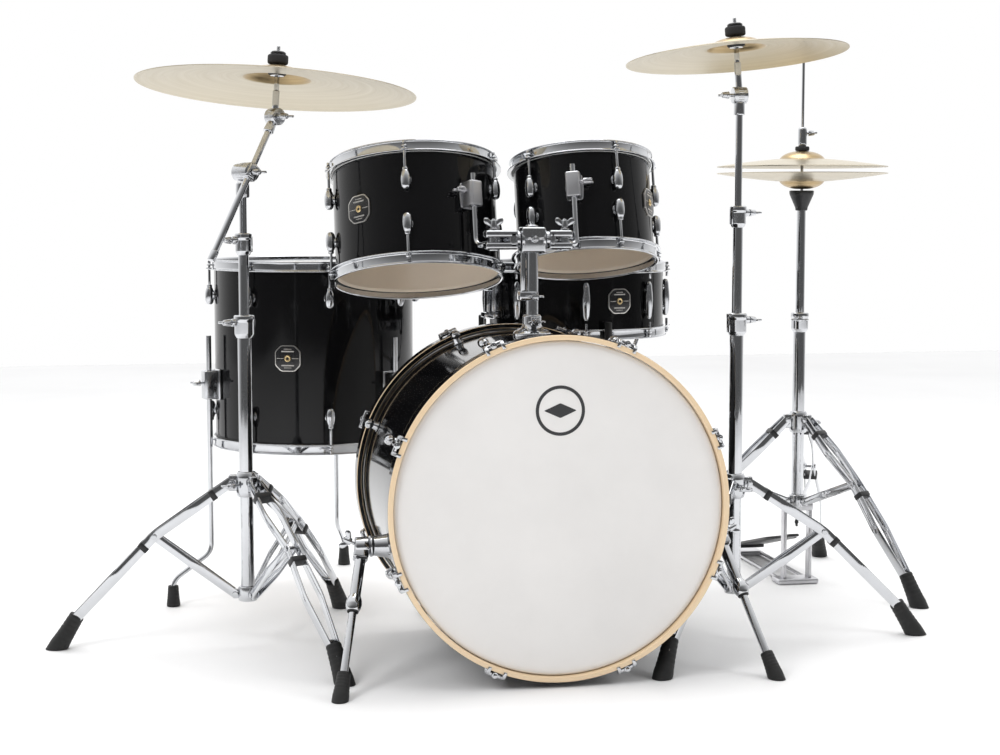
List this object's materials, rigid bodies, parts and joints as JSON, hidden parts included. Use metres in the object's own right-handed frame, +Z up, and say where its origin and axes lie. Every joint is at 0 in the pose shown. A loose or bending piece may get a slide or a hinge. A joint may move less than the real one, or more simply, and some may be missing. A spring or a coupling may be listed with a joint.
{
  "type": "acoustic drum kit",
  "caption": "Acoustic drum kit: bass drum with spurs, two rack toms, floor tom, snare on a stand, hi-hat, ride on a boom stand, crash on a straight stand and a kick pedal.",
  "frame": {"origin": "on the floor, under the centre of the kit's bounding box", "axes": "+Z up; +Y from the front of the bass drum to the player; +X towards the hi-hat side, along the kit's longest extent"},
  "size_m": [1.7144, 1.1542, 1.15],
  "materials": {
    "lacquer": "polished",
    "maple": "clear satin",
    "head_coated": "smooth matte",
    "head_clear": "translucent",
    "chrome": "polished",
    "satin": "satin",
    "bronze": "lathed",
    "black": "satin black",
    "steel": "bright wire"
  },
  "bodies": {
    "kit": {"bass_shell": "lacquer", "bass_batter_head": "head_coated", "bass_front_head": "head_coated", "bass_back_hoop": "maple", "bass_front_hoop": "maple", "floor_tom_shell": "lacquer", "floor_tom_batter_head": "head_coated", "floor_tom_top_hoop": "chrome", "floor_tom_resonant_head": "head_clear", "floor_tom_bottom_hoop": "chrome", "ride_stand_base": "chrome", "crash_stand_base": "chrome", "hihat_stand_base": "chrome", "snare_stand_base": "chrome", "kick_pedal_frame": "satin"},
    "left_spur": {"left_spur_tube": "chrome"},
    "left_spur_foot": {"left_spur_leg": "chrome"},
    "right_spur": {"right_spur_tube": "chrome"},
    "right_spur_foot": {"right_spur_leg": "chrome"},
    "tom_holder": {"tom_holder_post": "chrome"},
    "left_arm": {"left_tom_arm": "chrome"},
    "right_arm": {"right_tom_arm": "chrome"},
    "tom12": {"tom12_shell": "lacquer", "tom12_batter_head": "head_coated", "tom12_top_hoop": "chrome", "tom12_resonant_head": "head_clear", "tom12_bottom_hoop": "chrome"},
    "tom10": {"tom10_shell": "lacquer", "tom10_batter_head": "head_coated", "tom10_top_hoop": "chrome", "tom10_resonant_head": "head_clear", "tom10_bottom_hoop": "chrome"},
    "floor_tom_leg_left": {"floor_tom_left_leg": "chrome"},
    "floor_tom_leg_back": {"floor_tom_back_leg": "chrome"},
    "floor_tom_leg_right": {"floor_tom_right_leg": "chrome"},
    "snare_tube": {"snare_stand_tube": "chrome"},
    "snare": {"snare_basket": "chrome", "snare_shell": "lacquer", "snare_batter_head": "head_coated", "snare_top_hoop": "chrome", "snare_resonant_head": "head_clear", "snare_bottom_hoop": "chrome"},
    "strainer": {"snare_strainer_lever": "chrome"},
    "wires": {"snare_wires": "steel"},
    "ride_middle": {"ride_stand_middle_tube": "chrome"},
    "ride_upper": {"ride_stand_upper_tube": "chrome"},
    "boom": {"ride_boom_arm": "chrome"},
    "ride_top": {"ride_tilter": "chrome"},
    "ride": {"ride_cymbal": "bronze"},
    "crash_middle": {"crash_stand_middle_tube": "chrome"},
    "crash_upper": {"crash_stand_upper_tube": "chrome"},
    "crash_top": {"crash_tilter": "chrome"},
    "crash": {"crash_cymbal": "bronze"},
    "hihat_tube": {"hihat_upper_tube": "chrome", "hihat_bottom_cymbal": "bronze"},
    "hihat_rod": {"hihat_pull_rod": "chrome", "hihat_top_cymbal": "bronze"},
    "hihat_pedal": {"hihat_footboard": "black"},
    "footboard": {"kick_footboard": "black"},
    "beater": {"kick_beater": "chrome"}
  },
  "joints": [
    {"name": "left_spur_fold", "type": "hinge", "parent": "kit", "child": "left_spur", "pos_m": [-0.32459, -0.416, 0.22502], "axis": [1, 0, 0], "range_deg": [-55, 0]},
    {"name": "left_spur_length", "type": "slide", "parent": "left_spur", "child": "left_spur_foot", "axis": [-0.2004, -0.5582, -0.8051], "range_m": [-0.04, 0.03]},
    {"name": "right_spur_fold", "type": "hinge", "parent": "kit", "child": "right_spur", "pos_m": [0.31141, -0.416, 0.22502], "axis": [1, 0, 0], "range_deg": [-55, 0]},
    {"name": "right_spur_length", "type": "slide", "parent": "right_spur", "child": "right_spur_foot", "axis": [0.2004, -0.5582, -0.8051], "range_m": [-0.04, 0.03]},
    {"name": "tom_holder_height", "type": "slide", "parent": "kit", "child": "tom_holder", "axis": [0, 0, 1], "range_m": [-0.02, 0.05]},
    {"name": "left_tom_tilt", "type": "hinge", "parent": "tom_holder", "child": "left_arm", "pos_m": [-0.02889, -0.316, 0.74502], "axis": [1, 0, 0], "range_deg": [-8, 12]},
    {"name": "right_tom_tilt", "type": "hinge", "parent": "tom_holder", "child": "right_arm", "pos_m": [0.01571, -0.316, 0.74502], "axis": [1, 0, 0], "range_deg": [-8, 12]},
    {"name": "tom12_height", "type": "slide", "parent": "left_arm", "child": "tom12", "axis": [0, 0.2538, 0.9673], "range_m": [0, 0.03]},
    {"name": "tom10_height", "type": "slide", "parent": "right_arm", "child": "tom10", "axis": [0, 0.2538, 0.9673], "range_m": [0, 0.03]},
    {"name": "floor_tom_left_leg_height", "type": "slide", "parent": "kit", "child": "floor_tom_leg_left", "axis": [0, 0, 1], "range_m": [-0.03, 0.1]},
    {"name": "floor_tom_back_leg_height", "type": "slide", "parent": "kit", "child": "floor_tom_leg_back", "axis": [0, 0, 1], "range_m": [-0.03, 0.1]},
    {"name": "floor_tom_right_leg_height", "type": "slide", "parent": "kit", "child": "floor_tom_leg_right", "axis": [0, 0, 1], "range_m": [-0.03, 0.1]},
    {"name": "snare_stand_height", "type": "slide", "parent": "kit", "child": "snare_tube", "axis": [0, 0, 1], "range_m": [-0.05, 0.01]},
    {"name": "snare_basket_tilt", "type": "hinge", "parent": "snare_tube", "child": "snare", "pos_m": [0.18941, 0.169, 0.44], "axis": [1, 0, 0], "range_deg": [-10, 0]},
    {"name": "strainer_throw", "type": "hinge", "parent": "snare", "child": "strainer", "pos_m": [-0.00409, 0.11352, 0.638], "axis": [-0.2756, 0.9613, 0], "range_deg": [0, 70]},
    {"name": "snare_wire_drop", "type": "slide", "parent": "snare", "child": "wires", "axis": [0, 0, 1], "range_m": [-0.0035, 0], "stiffness_N_per_m": 20, "springref_m": 0.0939},
    {"name": "ride_middle_height", "type": "slide", "parent": "kit", "child": "ride_middle", "axis": [0, 0, 1], "range_m": [-0.01, 0.1]},
    {"name": "ride_upper_height", "type": "slide", "parent": "ride_middle", "child": "ride_upper", "axis": [0, 0, 1], "range_m": [-0.01, 0.08]},
    {"name": "ride_boom_tilt", "type": "hinge", "parent": "ride_upper", "child": "boom", "pos_m": [-0.50459, -0.151, 0.865], "axis": [0.601, -0.7992, 0], "range_deg": [-3, 20]},
    {"name": "ride_tilt", "type": "hinge", "parent": "boom", "child": "ride_top", "pos_m": [-0.4441, -0.132, 0.96538], "axis": [0.601, -0.7992, 0], "range_deg": [-12, 12]},
    {"name": "ride_swing", "type": "hinge", "parent": "ride_top", "child": "ride", "pos_m": [-0.43756, -0.12445, 1.05684], "axis": [0.6028, -0.7976, 0.0227], "range_deg": [-6, 6]},
    {"name": "crash_middle_height", "type": "slide", "parent": "kit", "child": "crash_middle", "axis": [0, 0, 1], "range_m": [-0.05, 0.1]},
    {"name": "crash_upper_height", "type": "slide", "parent": "crash_middle", "child": "crash_upper", "axis": [0, 0, 1], "range_m": [-0.05, 0.1]},
    {"name": "crash_tilt", "type": "hinge", "parent": "crash_upper", "child": "crash_top", "pos_m": [0.39241, -0.259, 1.006], "axis": [1, 0, 0], "range_deg": [-20, 20]},
    {"name": "crash_swing", "type": "hinge", "parent": "crash_top", "child": "crash", "pos_m": [0.38643, -0.25102, 1.11052], "axis": [0.9984, 0.0043, 0.0569], "range_deg": [-6, 6]},
    {"name": "hihat_height", "type": "slide", "parent": "kit", "child": "hihat_tube", "axis": [0, 0, 1], "range_m": [0, 0.08]},
    {"name": "hihat_close", "type": "slide", "parent": "hihat_tube", "child": "hihat_rod", "axis": [0, 0, 1], "range_m": [-0.0119, 0], "stiffness_N_per_m": 900, "springref_m": 0.04},
    {"name": "hihat_pedal_press", "type": "hinge", "parent": "kit", "child": "hihat_pedal", "pos_m": [0.67941, 0.504, 0.022], "axis": [1, 0, 0], "range_deg": [0, 2.5]},
    {"name": "kick_pedal_press", "type": "hinge", "parent": "kit", "child": "footboard", "pos_m": [-0.00659, 0.216, 0.022], "axis": [1, 0, 0], "range_deg": [0, 10]},
    {"name": "kick_beater_swing", "type": "hinge", "parent": "kit", "child": "beater", "pos_m": [-0.00659, -0.038, 0.15], "axis": [1, 0, 0], "range_deg": [0, 45], "stiffness_Nm_per_rad": 1.2, "springref_deg": -51.57}
  ],
  "couplings": [
    {"joint": "hihat_close", "follows": "hihat_pedal_press", "m_per_rad": -0.27},
    {"joint": "kick_beater_swing", "follows": "kick_pedal_press", "ratio": 4.5},
    {"joint": "snare_wire_drop", "follows": "strainer_throw", "m_per_rad": -0.0028}
  ]
}
